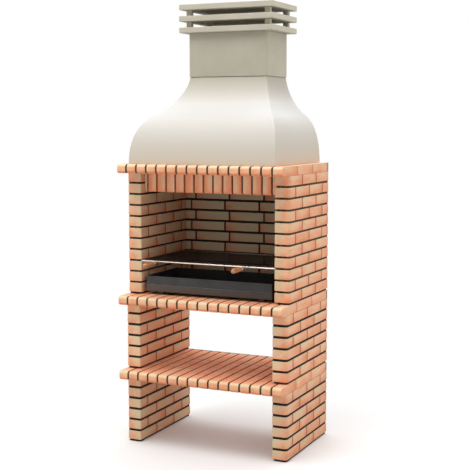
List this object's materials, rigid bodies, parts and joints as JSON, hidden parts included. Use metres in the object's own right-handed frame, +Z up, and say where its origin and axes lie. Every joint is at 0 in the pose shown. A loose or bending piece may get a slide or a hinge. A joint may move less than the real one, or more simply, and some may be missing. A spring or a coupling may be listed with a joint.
{
  "type": "outdoor masonry barbecue",
  "caption": "Free-standing masonry barbecue with brick piers and shelves, an open firebox with an ember tray and a sliding wire grill, a flared hood and a capped chimney.",
  "frame": {"origin": "on the floor, under the middle of the box that holds the whole object", "axes": "+Z is up, -Y is the front with the open firebox and the grill handles, +X is the viewer's right"},
  "size_m": [0.95, 0.76, 2.3865],
  "materials": {
    "brick": "matt salmon refractory brick with tan streaks",
    "mortar": "rough dark mortar, raked back",
    "render": "matt cream masonry render",
    "cast_stone": "matt beige-grey cast concrete",
    "black_steel": "dark grey sheet steel, slightly satin",
    "bright_steel": "bright plated steel wire",
    "wood": "varnished turned wood"
  },
  "bodies": {
    "masonry": {"lower_left_mortar_bed": "mortar", "lower_left_pier": "brick", "lower_right_mortar_bed": "mortar", "lower_right_pier": "brick", "middle_left_mortar_bed": "mortar", "middle_left_pier": "brick", "middle_right_mortar_bed": "mortar", "middle_right_pier": "brick", "lower_shelf_slab": "brick", "hearth_slab": "brick", "top_slab": "brick", "firebox_left_mortar_bed": "mortar", "firebox_right_mortar_bed": "mortar", "firebox_back_mortar_bed": "mortar", "firebox_left_wall": "brick", "firebox_right_wall": "brick", "firebox_back_wall": "brick", "lintel_brick_01": "brick", "lintel_brick_02": "brick", "lintel_brick_03": "brick", "lintel_brick_04": "brick", "lintel_brick_05": "brick", "lintel_brick_06": "brick", "lintel_brick_07": "brick", "lintel_brick_08": "brick", "lintel_brick_09": "brick", "lintel_brick_10": "brick", "lintel_brick_11": "brick", "lintel_brick_12": "brick", "lintel_brick_13": "brick", "lintel_brick_14": "brick", "lintel_brick_15": "brick", "lintel_beam": "mortar", "hood": "render", "flue_mortar_bed": "mortar", "chimney_block": "cast_stone", "cap_lower_ring": "cast_stone", "cap_middle_ring": "cast_stone", "cap_lid": "cast_stone", "cap_post_lower_front_left": "cast_stone", "cap_post_lower_front_right": "cast_stone", "cap_post_lower_back_left": "cast_stone", "cap_post_lower_back_right": "cast_stone", "cap_post_upper_front_left": "cast_stone", "cap_post_upper_front_right": "cast_stone", "cap_post_upper_back_left": "cast_stone", "cap_post_upper_back_right": "cast_stone"},
    "ember_tray": {"ember_tray": "black_steel", "tray_foot_left": "black_steel", "tray_foot_right": "black_steel"},
    "grill": {"grill": "bright_steel", "handle_wire_left": "bright_steel", "handle_wire_right": "bright_steel", "handle_ferrule_left": "bright_steel", "handle_ferrule_right": "bright_steel", "handle_grip_left": "wood", "handle_grip_right": "wood"}
  },
  "joints": [
    {"name": "tray_slide", "type": "slide", "parent": "masonry", "child": "ember_tray", "axis": [0, -1, 0], "range_m": [0, 0.25]},
    {"name": "grill_slide", "type": "slide", "parent": "masonry", "child": "grill", "axis": [0, -1, 0], "range_m": [0, 0.35]}
  ]
}
